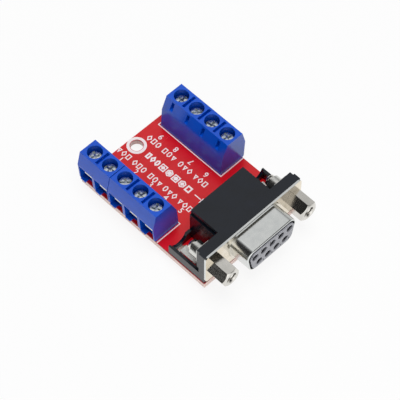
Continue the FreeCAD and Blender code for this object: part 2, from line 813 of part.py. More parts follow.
def solder_fillet(name, x, y, half_x, half_y):
    """Cone of solder round one lead, from the board's underside down."""
    cone = doc.addObject("Part::Cone", f"{name}_cone")
    reach = diagonal(half_x, half_y)
    bind(cone, "Radius1", reach + mm.solder_top_width)
    bind(cone, "Radius2", reach + mm.solder_width)
    bind(cone, "Height", mm.solder_height)
    place(cone, x, y, board_bottom - mm.solder_height)
    lead = doc.addObject("Part::Box", f"{name}_lead")
    bind(lead, "Length", 2 * half_x)
    bind(lead, "Width", 2 * half_y)
    bind(lead, "Height", mm.solder_height)
    place(lead, x - half_x, y - half_y, board_bottom - mm.solder_height)
    cut = doc.addObject("Part::Cut", name)
    cut.Base = cone
    cut.Tool = lead
    return cut


def make_solder(label, fillets):
    group = doc.addObject("Part::Compound", label)
    group.Label = label
    group.Links = fillets
    subparts.append(group)


make_board()
make_terminal_housing("two_way_housing", 2, LEFT, 3)
make_terminal_housing("three_way_housing", 3, LEFT, 0)
make_terminal_housing("four_way_housing", 4, RIGHT, 0)
for pole in poles:
    make_terminal_pin(*pole)
    make_clamp_cage(*pole)
    make_clamp_screw(*pole)
make_socket_shell()
make_insulator()
for contact_number, contact in enumerate(contacts, start=1):
    make_contact(contact_number, *contact)
make_rear_housing()
for side_name, side in (("left", LEFT), ("right", RIGHT)):
    make_jackscrew(f"jackscrew_{side_name}", side)
    make_strap(f"strap_{side_name}", side)
    make_nut(f"clinch_nut_{side_name}", side)

half_lead_depth = mm.lead_depth / 2
half_lead_width = mm.lead_width / 2
make_solder("terminal_solder", [
    solder_fillet(f"terminal_fillet_{number}", from_face(side, lead_u), pole_y(side, place_in_row),
                  half_lead_depth, half_lead_width)
    for number, side, place_in_row in poles])
make_solder("contact_solder", [
    solder_fillet(f"contact_fillet_{i}", x, tail_y, mm.tail_width / 2, mm.tail_thickness / 2)
    for i, (row, x, tail_y) in enumerate(contacts)])

doc.recompute()
for item in doc.Objects:
    if "Invalid" in item.State or "Error" in item.State:
        raise RuntimeError(f"{item.Label} did not compute: {item.State}")
os.makedirs("parts", exist_ok=True)
for item in subparts:
    shape = item.Shape
    if shape.isNull() or not shape.isValid():
        raise RuntimeError(f"{item.Label} has no valid shape")
    if shape.Volume <= 0:
        raise RuntimeError(f"{item.Label} is empty")
for item in subparts:
    item.Shape.exportStep(f"parts/{item.Label}.step")
    print(item.Label, round(item.Shape.Volume, 3), len(item.Shape.Solids))
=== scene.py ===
import json
import math

import bpy
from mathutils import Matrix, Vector


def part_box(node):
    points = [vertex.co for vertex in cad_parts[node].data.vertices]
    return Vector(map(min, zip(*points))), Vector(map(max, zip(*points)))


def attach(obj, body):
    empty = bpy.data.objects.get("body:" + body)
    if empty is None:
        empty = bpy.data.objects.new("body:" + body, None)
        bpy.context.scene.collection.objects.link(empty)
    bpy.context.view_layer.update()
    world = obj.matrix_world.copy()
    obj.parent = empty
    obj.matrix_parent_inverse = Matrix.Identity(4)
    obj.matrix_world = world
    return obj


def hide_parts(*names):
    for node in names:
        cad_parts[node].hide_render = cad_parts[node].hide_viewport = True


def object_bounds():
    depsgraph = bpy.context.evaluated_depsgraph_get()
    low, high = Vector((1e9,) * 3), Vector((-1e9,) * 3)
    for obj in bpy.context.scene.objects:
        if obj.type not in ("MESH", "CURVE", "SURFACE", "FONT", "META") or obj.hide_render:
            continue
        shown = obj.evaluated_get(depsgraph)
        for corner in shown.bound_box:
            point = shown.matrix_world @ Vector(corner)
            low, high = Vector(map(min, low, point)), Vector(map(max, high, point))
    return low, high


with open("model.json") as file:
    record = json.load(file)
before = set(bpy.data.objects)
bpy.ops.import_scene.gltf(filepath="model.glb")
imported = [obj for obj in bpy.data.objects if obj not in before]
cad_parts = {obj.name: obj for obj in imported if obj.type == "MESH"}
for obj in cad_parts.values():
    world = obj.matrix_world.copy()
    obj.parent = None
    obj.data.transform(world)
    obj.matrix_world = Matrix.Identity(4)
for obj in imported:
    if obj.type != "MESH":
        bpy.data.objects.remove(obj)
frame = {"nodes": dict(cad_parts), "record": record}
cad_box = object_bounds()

# Adapter board from a nine-contact D-shaped socket to nine screw terminals. The solids
# come from the frame. This script finishes them, adds the printed marks, the copper, the
# threads and the contact numbers, and sets up the studio. Lengths are in metres.
MM = 0.001

board_low, board_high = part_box("circuit_board")
BOARD_TOP = board_high.z
BOARD_UNDERSIDE = board_low.z
BEHAVIOUR = frame["record"]["behaviour"]
BODY_OF = {node: body for body, nodes in BEHAVIOUR["bodies"].items() for node in nodes}
SLOT_OF = {part["node"]: part["material_slot"] for part in frame["record"]["subparts"]}
MOUNTS = {mount["name"]: mount for mount in frame["record"]["mounts"]}
# Each pole stands where its clamp screw turns, and the screw's body carries the pole's number
POLE_PLACES = {int(joint["child"].split("_")[1]): Vector(joint["pos_m"])
               for joint in BEHAVIOUR["joints"] if joint["type"] == "hinge"}
# Contacts 1 to 5 are the socket's upper row, and 6 to 9 the lower
CONTACTS = range(1, 10)
LAST_UPPER_CONTACT = 5
UPPER_MIDDLE, LOWER_MIDDLE = 3, 7.5


# Materials

PLASTIC_IOR = 1.5
# A polished skin's roughness, as a share of the plastic's own
SKIN_SHARE = 0.7
PLASTIC_CLOUD = 3.0 * MM
METAL_CLOUD = 2.0 * MM
# How far a dark line of painted shade comes down from the board's top on its long edges
PAINTED_SHADE_LINE = 0.28 * MM
# Between these depths behind the shell's rim the cavities get painted shade
PAINTED_CAVITY_SHADE = (0.15 * MM, 0.5 * MM)
# Between these places along y the drawn shell passes into the rolled flange
FLANGE_BEGINS = (-0.7 * MM, -0.2 * MM)


def linear(hex_colour):
    """Turns an sRGB hex colour into the linear values that a shader takes."""
    parts = [int(hex_colour[i:i + 2], 16) / 255 for i in (1, 3, 5)]
    return (*(c / 12.92 if c <= 0.04045 else ((c + 0.055) / 1.055) ** 2.4 for c in parts), 1.0)


def add_node(tree, kind, links=None, **settings):
    """Adds a node. Settings are its own properties, and links gives inputs a value or a source."""
    new = tree.nodes.new(kind)
    for name, value in settings.items():
        setattr(new, name, value)
    for name, value in (links or {}).items():
        if isinstance(value, bpy.types.NodeSocket):
            tree.links.new(value, new.inputs[name])
        else:
            new.inputs[name].default_value = value
    return new


def calculate(tree, operation, first, second=0.0):
    """One step of arithmetic on values or sockets."""
    step = add_node(tree, "ShaderNodeMath", {0: first, 1: second}, operation=operation)
    return step.outputs["Value"]


def between(tree, factor, low, high, value_low, value_high):
    """Takes a factor from the range low to high into another range."""
    spread = add_node(tree, "ShaderNodeMapRange", {
        "Value": factor, "From Min": low, "From Max": high,
        "To Min": value_low, "To Max": value_high})
    return spread.outputs["Result"]


def coordinate(tree, source, axis):
    """One axis of a texture coordinate: Object for a place, Normal for the way a face looks."""
    whole = add_node(tree, "ShaderNodeTexCoord").outputs[source]
    return add_node(tree, "ShaderNodeSeparateXYZ", {"Vector": whole}).outputs[axis]


def grain(tree, size, stretch=(1, 1, 1)):
    """Noise whose grains are about size long, drawn out along an axis where stretch is under 1."""
    place = add_node(tree, "ShaderNodeTexCoord").outputs["Object"]
    scaled = add_node(tree, "ShaderNodeMapping", {
        "Vector": place, "Scale": tuple(s / size for s in stretch)})
    noise = add_node(tree, "ShaderNodeTexNoise", {
        "Vector": scaled.outputs["Vector"], "Scale": 1.0, "Detail": 3.0})
    return noise.outputs["Fac"]


def cloud(tree, size, low=0.3, high=0.7):
    """Soft patches of about a size, as a share from 0 to 1."""
    return between(tree, grain(tree, size), low, high, 0, 1)


def blend_colours(tree, share, first, second):
    mixed = add_node(tree, "ShaderNodeMix", {0: share, 6: first, 7: second}, data_type="RGBA")
    return mixed.outputs[2]


def bump(tree, shader, height, depth):
    """Gives the shader a relief that is depth deep where the height runs from 0 to 1."""
    relief = add_node(tree, "ShaderNodeBump", {
        "Height": height, "Distance": depth, "Strength": 1.0})
    tree.links.new(relief.outputs["Normal"], shader.inputs["Normal"])


def new_material(name, metallic=0.0, roughness=0.5):
    material = bpy.data.materials.new(name)
    material.use_nodes = True
    shader = material.node_tree.nodes["Principled BSDF"]
    shader.inputs["Metallic"].default_value = metallic
    shader.inputs["Roughness"].default_value = roughness
    if metallic < 1.0:
        shader.inputs["IOR"].default_value = PLASTIC_IOR
    return material, material.node_tree, shader


def make_solder_resist():
    # Epoxy solder resist, cured over glass-epoxy laminate: a clear even red with a soft gloss,
    # slightly mottled. The edges show the pale laminate. On its two long sides a dark red line
    # along the top of the edge is painted shade.
    material, tree, shader = new_material("solder_resist", roughness=0.3)
    mottle = cloud(tree, 2.5 * MM, 0.35, 0.65)
    red = blend_colours(tree, mottle, linear("#cc0c16"), linear("#d2121e"))
    fibres = grain(tree, 0.5 * MM, stretch=(1, 1, 8))
    laminate = blend_colours(tree, fibres, linear("#e8c2b8"), linear("#f6e2d8"))
    height = coordinate(tree, "Object", "Z")
    # Painted shade: a dark red line along the top of the board's two long edges
    in_painted_shade_line = calculate(tree, "GREATER_THAN", height, BOARD_TOP - PAINTED_SHADE_LINE)
    sideways = calculate(tree, "ABSOLUTE", coordinate(tree, "Normal", "X"))
    painted_edge_shade = calculate(tree, "MULTIPLY", in_painted_shade_line, sideways)
    edge = blend_colours(tree, painted_edge_shade, laminate, linear("#8c1622"))
    up_or_down = calculate(tree, "ABSOLUTE", coordinate(tree, "Normal", "Z"))
    is_face = calculate(tree, "GREATER_THAN", up_or_down, 0.5)
    tree.links.new(blend_colours(tree, is_face, edge, red), shader.inputs["Base Color"])
    bump(tree, shader, grain(tree, 0.6 * MM), 0.004 * MM)
    return material


def make_moulded(name, colour, lighter, roughness, relief, specular=0.5, skin=0.0, grain_size=0.25):
    """An injection-moulded plastic with an even colour, a slight cloudiness and a fine grain.

    The relief and the grain size are in millimetres. The skin is the closed, glossier surface
    that a polished tool leaves on it.
    """
    material, tree, shader = new_material(name, roughness=roughness)
    shader.inputs["Specular IOR Level"].default_value = specular
    shader.inputs["Coat Weight"].default_value = skin
    shader.inputs["Coat Roughness"].default_value = roughness * SKIN_SHARE
    mixed = blend_colours(tree, cloud(tree, PLASTIC_CLOUD), linear(colour), linear(lighter))
    tree.links.new(mixed, shader.inputs["Base Color"])
    bump(tree, shader, grain(tree, grain_size * MM), relief * MM)
    return material


def make_insert_polyester():
    # Grey polyester of the insert that holds the contacts: a plain polish on its face. In the
    # contacts' cavities the grey is painted darker with depth, as painted shade.
    material, tree, shader = new_material("grey_polyester", roughness=0.3)
    grey = blend_colours(tree, cloud(tree, PLASTIC_CLOUD), linear("#92939a"), linear("#9a9ba2"))
    rim_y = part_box("socket_shell")[0].y
    shade_from, shade_to = (rim_y + depth for depth in PAINTED_CAVITY_SHADE)
    # Painted shade: the grey darkens with depth into the contacts' cavities
    inside = between(tree, coordinate(tree, "Object", "Y"), shade_from, shade_to, 0, 1)
    cavity_painted_shade = blend_colours(tree, inside, grey, linear("#26272c"))
    tree.links.new(cavity_painted_shade, shader.inputs["Base Color"])
    bump(tree, shader, grain(tree, 0.25 * MM), 0.003 * MM)
    return material


def make_drawn_nickel():
    # Nickel plate on deep-drawn steel: a soft satin with faint drawing lines along the shell.
    # The drawn part in front is neutral. The flange keeps the smooth creamy face of the rolled
    # sheet, and its sheared edges are rough.
    material, tree, shader = new_material("nickel_on_drawn_steel", metallic=1.0, roughness=0.24)
    in_flange = between(tree, coordinate(tree, "Object", "Y"), *FLANGE_BEGINS, 0, 1)
    looks_forward = between(tree, coordinate(tree, "Normal", "Y"), -0.8, -0.5, 1, 0)
    rolled = calculate(tree, "MULTIPLY", in_flange, looks_forward)
    patches = cloud(tree, METAL_CLOUD)
    neutral = blend_colours(tree, patches, linear("#e2e4e2"), linear("#d6d9d8"))
    cream = blend_colours(tree, patches, linear("#efe6d6"), linear("#e4d9c4"))
    tree.links.new(blend_colours(tree, rolled, neutral, cream), shader.inputs["Base Color"])
    lines = grain(tree, 0.12 * MM, stretch=(0.06, 1, 1))
    drawn_roughness = between(tree, lines, 0.3, 0.7, 0.21, 0.27)
    rolled_change = calculate(tree, "MULTIPLY", rolled, -0.03)
    roughness = calculate(tree, "ADD", drawn_roughness, rolled_change)
    tree.links.new(roughness, shader.inputs["Roughness"])
    bump(tree, shader, lines, 0.0004 * MM)
    return material


def make_plated(name, colour, shade, roughness, spread, stretch, grain_size, relief):
    """A plated metal whose grain runs the way the metal was drawn or turned.

    The grain size and the relief are in millimetres.
    """
    material, tree, shader = new_material(name, metallic=1.0, roughness=roughness)
    lines = grain(tree, grain_size * MM, stretch=stretch)
    mixed = blend_colours(tree, cloud(tree, METAL_CLOUD), linear(colour), linear(shade))
    tree.links.new(mixed, shader.inputs["Base Color"])
    varied = between(tree, lines, 0.3, 0.7, roughness - spread, roughness + spread)
    tree.links.new(varied, shader.inputs["Roughness"])
    bump(tree, shader, lines, relief * MM)
    return material


# Polyamide 66, injection moulded and coloured through: saturated blue, polished by the tool
BLUE_POLYAMIDE = make_moulded("polyamide_66", "#024abc", "#0850c6", 0.2, 0.003,
                              specular=0.44, skin=0.05)
# Polyester PBT, injection moulded: near black with a satin, finely eroded face
BLACK_POLYESTER = make_moulded("black_polyester", "#0c1119", "#0f151f", 0.24, 0.004,
                               specular=0.38, skin=0.08)
# Nickel plate on turned brass bar: mirror-like, with the lines of the drawn hexagon bar
TURNED_NICKEL = make_plated("nickel_on_turned_brass", "#dfdcd6", "#d2d0ca", 0.18, 0.05,
                            (1, 0.04, 1), 0.1, 0.0008)
# Nickel plate on steel screws: bright, with the cold-heading marks of the head
SCREW_NICKEL = make_plated("nickel_on_screw_steel", "#e8eef0", "#d4dde0", 0.26, 0.1,
                           (1, 1, 1), 0.4, 0.03)
# Clear zinc plate on folded steel: cool grey and slightly dull
ZINC_PLATE = make_plated("zinc_plate", "#cfd4d8", "#c2c7cc", 0.32, 0.08, (1, 1, 1), 0.3, 0.003)
# Tin plate on stamped brass strip: pale, soft, with stamping lines
TIN_PLATE = make_plated("tin_plate", "#e4e4e0", "#d4d4d0", 0.3, 0.08, (1, 0.2, 1), 0.2, 0.002)
# Gold flash on turned brass contacts: thin warm yellow
GOLD_FLASH = make_plated("gold_flash", "#e0b866", "#d4aa58", 0.22, 0.05, (1, 0.1, 1), 0.15, 0.001)
# Tin-silver solder, melted and set: bright with slow ripples
SOLDER = make_plated("solder", "#dadcde", "#c8cacc", 0.2, 0.08, (1, 1, 1), 0.5, 0.01)
# Epoxy screen ink: matt off-white that lets a little of the red through at its edges
SCREEN_INK = make_moulded("screen_ink", "#f2e4e4", "#f7eeee", 0.55, 0.004, grain_size=0.15)

FINISH = {
    "red_solder_resist": make_solder_resist(),
    "blue_polyamide": BLUE_POLYAMIDE,
    "black_polyester": BLACK_POLYESTER,
    "grey_polyester": make_insert_polyester(),
    "nickel_plate": make_drawn_nickel(),
    "polished_nickel": TURNED_NICKEL,
    "nickel_screw": SCREW_NICKEL,
    "zinc_plate": ZINC_PLATE,
    "tinned_brass": TIN_PLATE,
    "tin_plate": TIN_PLATE,
    "gold_plate": GOLD_FLASH,
    "solder": SOLDER,
    "screen_ink": SCREEN_INK,
}


def wear(piece, slot):
    """Gives a piece the material of one of the record's slots."""
    piece.data.materials.clear()
    piece.data.materials.append(FINISH[slot])


for node, solid in frame["nodes"].items():
    wear(solid, SLOT_OF[node])


# Modelling helpers

SHARP_ANGLE = math.radians(28)
FLAT_ANGLE = math.radians(0.6)
ON_PLANE = 0.01 * MM
SAME_POINT = 0.001 * MM
# Each row of contacts is this far from the socket's middle
ROW_HALF = 1.42 * MM


def select_only(piece):
    bpy.ops.object.select_all(action="DESELECT")
    piece.select_set(True)
    bpy.context.view_layer.objects.active = piece


def edit_all():
    """Goes into edit mode with the whole of the active mesh selected."""
    bpy.ops.object.mode_set(mode="EDIT")
    bpy.ops.mesh.select_all(action="SELECT")


def close_outward():
    """Turns the faces of the mesh in edit mode outward, and leaves edit mode."""
    bpy.ops.mesh.select_all(action="SELECT")
    bpy.ops.mesh.normals_make_consistent(inside=False)
    bpy.ops.object.mode_set(mode="OBJECT")


def settle(piece):
    """Moves a piece's place into its mesh, so that its object sits at the origin."""
    select_only(piece)
    bpy.ops.object.transform_apply(location=True, rotation=True, scale=True)


def finish_piece(piece, name, body, slot, smooth=30):
    """Names a new piece, gives it its material and lets it ride on its body."""
    settle(piece)
    bpy.ops.object.shade_smooth_by_angle(angle=math.radians(smooth))
    piece.name = name
    wear(piece, slot)
    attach(piece, body)
    return piece


def join(pieces):
    bpy.ops.object.select_all(action="DESELECT")
    for piece in pieces:
        piece.select_set(True)
    bpy.context.view_layer.objects.active = pieces[0]
    bpy.ops.object.join()
    return bpy.context.view_layer.objects.active


def centre_of(node):
    low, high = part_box(node)
    return (low + high) / 2


def hole_of(contact):
    """A point on the axis of a contact's barrel, which is at its front."""
    low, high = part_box(contact)
    row_z = ROW_HALF if high.z > ROW_HALF / 2 else -ROW_HALF
    return Vector(((low.x + high.x) / 2, low.y, row_z))


def merged_copy(node):
    """A copy of a solid with its triangles merged into faces."""
    solid = frame["nodes"][node]
    piece = bpy.data.objects.new(f"{node}_moulded", solid.data.copy())
    bpy.context.collection.objects.link(piece)
    piece.matrix_world = solid.matrix_world
    select_only(piece)
    edit_all()
    bpy.ops.mesh.remove_doubles(threshold=SAME_POINT)
    bpy.ops.mesh.dissolve_limited(angle_limit=FLAT_ANGLE)
    bpy.ops.object.mode_set(mode="OBJECT")
    return piece


def pick_points(piece, chosen):
    """Selects the points of a mesh that a test picks by their place, and stays in edit mode."""
    select_only(piece)
    bpy.ops.object.mode_set(mode="EDIT")
    bpy.ops.mesh.select_mode(type="VERT")
    bpy.ops.mesh.select_all(action="DESELECT")
    bpy.ops.object.mode_set(mode="OBJECT")
    for point in piece.data.vertices:
        point.select = chosen(point.co)
    bpy.ops.object.mode_set(mode="EDIT")


def shift_points(piece, chosen, shift):
    """Moves the picked points."""
    pick_points(piece, chosen)
    bpy.ops.transform.translate(value=shift)
    bpy.ops.object.mode_set(mode="OBJECT")


def widen_points(piece, chosen, ratio_x, ratio_z, centre):
    """Spreads the picked points from a centre, along x and z."""
    pick_points(piece, chosen)
    bpy.ops.transform.resize(value=(ratio_x, 1, ratio_z), center_override=centre)
    bpy.ops.object.mode_set(mode="OBJECT")


def round_edges(piece, radius):
    rounding = piece.modifiers.new("rounding", "BEVEL")
    rounding.width = radius
    rounding.segments = 2
    rounding.limit_method = "ANGLE"
    rounding.angle_limit = SHARP_ANGLE
    rounding.use_clamp_overlap = True
    bpy.ops.object.modifier_apply(modifier=rounding.name)


def replace_with(piece, node):
    """Finishes a copy, keeps its flat faces flat and lets it stand for its solid."""
    finish_piece(piece, f"{node}_finished", BODY_OF[node], SLOT_OF[node], smooth=40)
    flats = piece.modifiers.new("flats", "WEIGHTED_NORMAL")
    flats.keep_sharp = True
    bpy.ops.object.modifier_apply(modifier=flats.name)
    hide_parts(node)


def round_and_replace(piece, node, radius):
    """Rounds the sharp edges of a copy, which then stands for its solid."""
    round_edges(piece, radius)
    replace_with(piece, node)


# Finished solids: moulded, folded and turned pieces get the small radii of their edges

MOULDED_RADIUS = 0.12 * MM
INSERT_RADIUS = 0.096 * MM
FOLDED_RADIUS = 0.08 * MM
TURNED_RADIUS = 0.03 * MM
ROUNDED = {
    "four_way_housing": MOULDED_RADIUS,
    "rear_housing": MOULDED_RADIUS,
    "strap_left": FOLDED_RADIUS,
    "strap_right": FOLDED_RADIUS,
    "jackscrew_left": TURNED_RADIUS,
    "jackscrew_right": TURNED_RADIUS,
    "clinch_nut_left": TURNED_RADIUS,
    "clinch_nut_right": TURNED_RADIUS,
}
HOUSING_GAP = 0.08 * MM
# The socket's front: the rim of the shell, the face of the insert and the contacts' mouths
RIM_DEPTH = 0.32 * MM
RIM_SETBACK = 0.3 * MM
RELIEF = 0.03 * MM
FACE_RATIO_X, FACE_RATIO_Z = 0.955, 0.9
MOUTH_RADIUS = 0.75 * MM
MOUTH_CLEAR = 1.3 * MM
MOUTH_RATIO = 1.4
LEAD_IN = 0.51 * MM
BARREL_SETBACK = 1.2 * MM
PLATE_REACH = 1.12 * MM


def part_left_housings():
    """The two left housings stand side by side with a thin gap between their end walls."""
    join_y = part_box("two_way_housing")[0].y
    for node, shift in (("two_way_housing", HOUSING_GAP), ("three_way_housing", -HOUSING_GAP)):
        piece = merged_copy(node)
        shift_points(piece, lambda place: abs(place.y - join_y) < ON_PLANE, (0, shift, 0))
        round_and_replace(piece, node, MOULDED_RADIUS)


def face_socket():
    """Brings the insulator's face out past the shell's rim, with a gap round it and wide mouths."""
    rim_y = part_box("socket_shell")[0].y
    face_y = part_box("contact_insulator")[0].y
    contacts = [f"socket_contact_{number}" for number in CONTACTS]
    holes = [hole_of(contact) for contact in contacts]

    def is_on_face(place):
        return place.y < face_y + ON_PLANE

    def off_axis(place, hole):
        return math.hypot(place.x - hole.x, place.z - hole.z)

    def is_outline(place):
        return is_on_face(place) and min(off_axis(place, hole) for hole in holes) > MOUTH_CLEAR

    shell = merged_copy("socket_shell")
    shift_points(shell, lambda place: place.y < rim_y + RIM_DEPTH, (0, RIM_SETBACK, 0))
    replace_with(shell, "socket_shell")
    insulator = merged_copy("contact_insulator")
    widen_points(insulator, is_outline, FACE_RATIO_X, FACE_RATIO_Z, (0, face_y, 0))
    for hole in holes:
        widen_points(insulator, lambda place: (place.y < face_y + LEAD_IN
                                               and off_axis(place, hole) < MOUTH_RADIUS),
                     MOUTH_RATIO, MOUTH_RATIO, hole)
    shift_points(insulator, is_on_face, (0, rim_y + RELIEF - face_y, 0))
    round_and_replace(insulator, "contact_insulator", INSERT_RADIUS)
    for contact in contacts:
        barrel_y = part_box(contact)[0].y
        barrel = merged_copy(contact)
        shift_points(barrel, lambda place: place.y < barrel_y + ON_PLANE, (0, BARREL_SETBACK, 0))
        replace_with(barrel, contact)


def lengthen_plates():
    """Brings the front edge of each terminal's plate forward, close behind the wire opening."""
    for pole, place in POLE_PLACES.items():
        node = f"terminal_pin_{pole}"
        side = math.copysign(1, place.x)
        front_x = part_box(node)[0 if side < 0 else 1].x
        pin = merged_copy(node)
        shift_points(pin, lambda point: abs(point.x - front_x) < ON_PLANE,
                     (side * PLATE_REACH, 0, 0))
        round_and_replace(pin, node, TURNED_RADIUS)


for node, radius in ROUNDED.items():
    round_and_replace(merged_copy(node), node, radius)
part_left_housings()
face_socket()
lengthen_plates()


# Threads: a ridge wound in each tapped bore and on the end of each stud

# 40 turns to the inch, as such jackscrews have
THREAD_PITCH = 0.635 * MM
RIDGE_SHARE = 0.42
STEPS_A_TURN = 28
BORE_CLEAR = 0.02 * MM
BORE_THREAD_DEPTH = 0.17 * MM
STUD_RADIUS = 1.39 * MM
STUD_THREAD_DEPTH = 0.1 * MM
# Where the threads begin and end, from the ends of the bore and from the end of the stud
BORE_THREAD = (-0.05 * MM, -0.5 * MM)
STUD_THREAD = (-0.95 * MM, -0.3 * MM)


def wound_ridge(x, y_from, y_to, radius, depth):
    """A helical ridge about an axis along y, its crest and its root a depth off the radius."""
    bpy.ops.object.select_all(action="DESELECT")
    bpy.ops.mesh.primitive_circle_add(vertices=4, radius=1, location=(radius, 0, 0),
                                      rotation=(math.pi / 2, 0, 0))
    ridge = bpy.context.object
    ridge.scale = (depth, THREAD_PITCH * RIDGE_SHARE, 1)
    settle(ridge)
    winding = ridge.modifiers.new("winding", "SCREW")
    winding.screw_offset = THREAD_PITCH
    winding.iterations = round((y_to - y_from) / THREAD_PITCH)
    winding.steps = STEPS_A_TURN
    winding.render_steps = STEPS_A_TURN
    bpy.ops.object.modifier_apply(modifier=winding.name)
    edit_all()
    bpy.ops.mesh.fill_holes(sides=4)
    close_outward()
    ridge.rotation_euler = (-math.pi / 2, 0, 0)
    ridge.location = (x, y_from, 0)
    settle(ridge)
    return ridge


def cut_threads(side_name):
    bore = MOUNTS[f"jack_thread_{side_name}"]
    bore_x, bore_y = bore["pos_m"][0], bore["pos_m"][1]
    bore_end = bore_y + bore["dims"]["length_mm"] * MM
    bore_radius = bore["dims"]["r_mm"] * MM
    inner = wound_ridge(bore_x, bore_y + BORE_THREAD[0], bore_end + BORE_THREAD[1],
                        bore_radius + BORE_CLEAR, BORE_THREAD_DEPTH)
    finish_piece(inner, f"jack_thread_{side_name}", "root", "polished_nickel", smooth=20)
    stud_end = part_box(f"jackscrew_{side_name}")[1].y
    outer = wound_ridge(bore_x, stud_end + STUD_THREAD[0], stud_end + STUD_THREAD[1],
                        STUD_RADIUS, STUD_THREAD_DEPTH)
    finish_piece(outer, f"stud_thread_{side_name}", "root", "polished_nickel", smooth=20)


cut_threads("left")
cut_threads("right")


# Thin layers on the board: etched copper, pads and screen ink

INK_HEIGHT = 0.03 * MM
COPPER_HEIGHT = 0.02 * MM
PAD_HEIGHT = 0.03 * MM


def raise_layer(field, height):
    """Gives a flat field a thickness, up from its face or down from it."""
    edit_all()
    bpy.ops.mesh.extrude_region_move(TRANSFORM_OT_translate={"value": (0, 0, height)})
    close_outward()
    return field


def layer_bar(low_x, high_x, low_y, high_y, z=BOARD_TOP, height=INK_HEIGHT):
    """A thin straight field, raised out of the board's face."""
    bpy.ops.object.select_all(action="DESELECT")
    middle = ((low_x + high_x) / 2, (low_y + high_y) / 2, z)
    bpy.ops.mesh.primitive_plane_add(size=1, location=middle)
    field = bpy.context.object
    field.scale = (high_x - low_x, high_y - low_y, 1)
    settle(field)
    return raise_layer(field, height)


def layer_shape(x, y, reach_x, reach_y, sides=48, turn=0.0, width=None,
                z=BOARD_TOP, height=INK_HEIGHT):
    """A thin field with equal sides: solid, or an outline of a width."""
    bpy.ops.object.select_all(action="DESELECT")
    bpy.ops.mesh.primitive_circle_add(vertices=sides, radius=1, fill_type="NGON",
                                      rotation=(0, 0, turn))
    shape = bpy.context.object
    settle(shape)
    shape.scale = (reach_x, reach_y, 1)
    shape.location = (x, y, z)
    settle(shape)
    if width:
        edit_all()
        bpy.ops.mesh.inset(thickness=width)
        bpy.ops.mesh.delete(type="FACE")
        bpy.ops.object.mode_set(mode="OBJECT")
    return raise_layer(shape, height)


# Blue forms in the wire openings. The sills end in front of the cages, which come down beside
# them, and the cages' lowest place is above the floor.
SILL_OUTER = 15.95 * MM
SILL_BACK = 14.65 * MM
FLOOR_END = 12.6 * MM
SILL_HALF = 2.2 * MM
SILL_NEAR = 0.5 * MM
SILL_HEIGHT = 0.45 * MM
FLOOR_HEIGHT = 0.2 * MM


def fit_sills():
    """Low blue forms in each wire opening: a sill in its far half, and a thin floor behind it."""
    bars = []
    for place in POLE_PLACES.values():
        side = math.copysign(1, place.x)
        outer, back, floor_end = (side * edge for edge in (SILL_OUTER, SILL_BACK, FLOOR_END))
        near, far = place.y - SILL_HALF, place.y + SILL_HALF
        bars.append(layer_bar(min(outer, back), max(outer, back), place.y + SILL_NEAR, far,
                              height=SILL_HEIGHT))
        bars.append(layer_bar(min(back, floor_end), max(back, floor_end), near, far,
                              height=FLOOR_HEIGHT))
    sills = join(bars)
    round_edges(sills, FOLDED_RADIUS)
    finish_piece(sills, "entry_sills", "root", "blue_polyamide", smooth=40)


# Upper contacts lead to the left row on the underside, lower contacts to the right row on top.
# Cross bars and rounds are lower than the bars along y, so that no two tops lie in one plane.
CROSS_BAR_SHARE = 0.94
ROUND_SHARE = 0.88
TRACK_WIDTH = 0.6 * MM
TRACK_TURN = 2.2 * MM
PAST_HOLE = 35.6 * MM
CONTACT_STEP = centre_of("socket_contact_2").x - centre_of("socket_contact_1").x
UPPER_TAIL_Y, LOWER_TAIL_Y = 10.1 * MM, 8.1 * MM
TERMINAL_LEAD_X = 9.6 * MM


def tail_of(contact):
    """Where a contact's tail goes through the board."""
    if contact <= LAST_UPPER_CONTACT:
        return (UPPER_MIDDLE - contact) * CONTACT_STEP, UPPER_TAIL_Y
    return (LOWER_MIDDLE - contact) * CONTACT_STEP, LOWER_TAIL_Y


def make_track(points, z, height):
    """Etched copper that runs straight from point to point, with a round at each."""
    half = TRACK_WIDTH / 2
    low, lowest = CROSS_BAR_SHARE * height, ROUND_SHARE * height
    run = []
    for (x0, y0), (x1, y1) in zip(points, points[1:]):
        if x0 == x1 and y0 != y1:
            run.append(layer_bar(x0 - half, x0 + half, min(y0, y1), max(y0, y1), z, height))
        elif x0 != x1:
            run.append(layer_bar(min(x0, x1), max(x0, x1), y0 - half, y0 + half, z, low))
    run += [layer_shape(x, y, half, half, sides=12, z=z, height=lowest) for x, y in points]
    return run


def lay_tracks():
    under, above = [], []
    for pole, place in POLE_PLACES.items():
        start_x, start_y = tail_of(pole)
        side = math.copysign(1, place.x)
        lead_x = side * TERMINAL_LEAD_X
        turn_x = lead_x - side * TRACK_TURN
        bend_y = min(place.y, PAST_HOLE)
        points = [(start_x, start_y), (start_x, bend_y), (turn_x, bend_y),
                  (turn_x, place.y), (lead_x, place.y)]
        if side < 0:
            under += make_track(points, BOARD_UNDERSIDE, -COPPER_HEIGHT)
        else:
            above += make_track(points, BOARD_TOP, COPPER_HEIGHT)
    finish_piece(join(under), "tracks_under_board", "root", "red_solder_resist")
    finish_piece(join(above), "tracks_on_board", "root", "red_solder_resist")


# Solder joints: radius at the pad and at the tip. Pads: radius and width of the ring.
TERMINAL_JOINT = (1.1 * MM, 0.7 * MM)
TERMINAL_PAD = (1.3 * MM, 0.5 * MM)
CONTACT_JOINT = (0.85 * MM, 0.48 * MM)
CONTACT_PAD = (0.98 * MM, 0.35 * MM)
STRAP_PAD = (2.2 * MM, 0.65 * MM)
STRAP_HOLE_Y = 9.9 * MM
JOINT_HEIGHT = 0.9 * MM
JOINT_STEPS = 6
JOINT_CURVE = 2.4


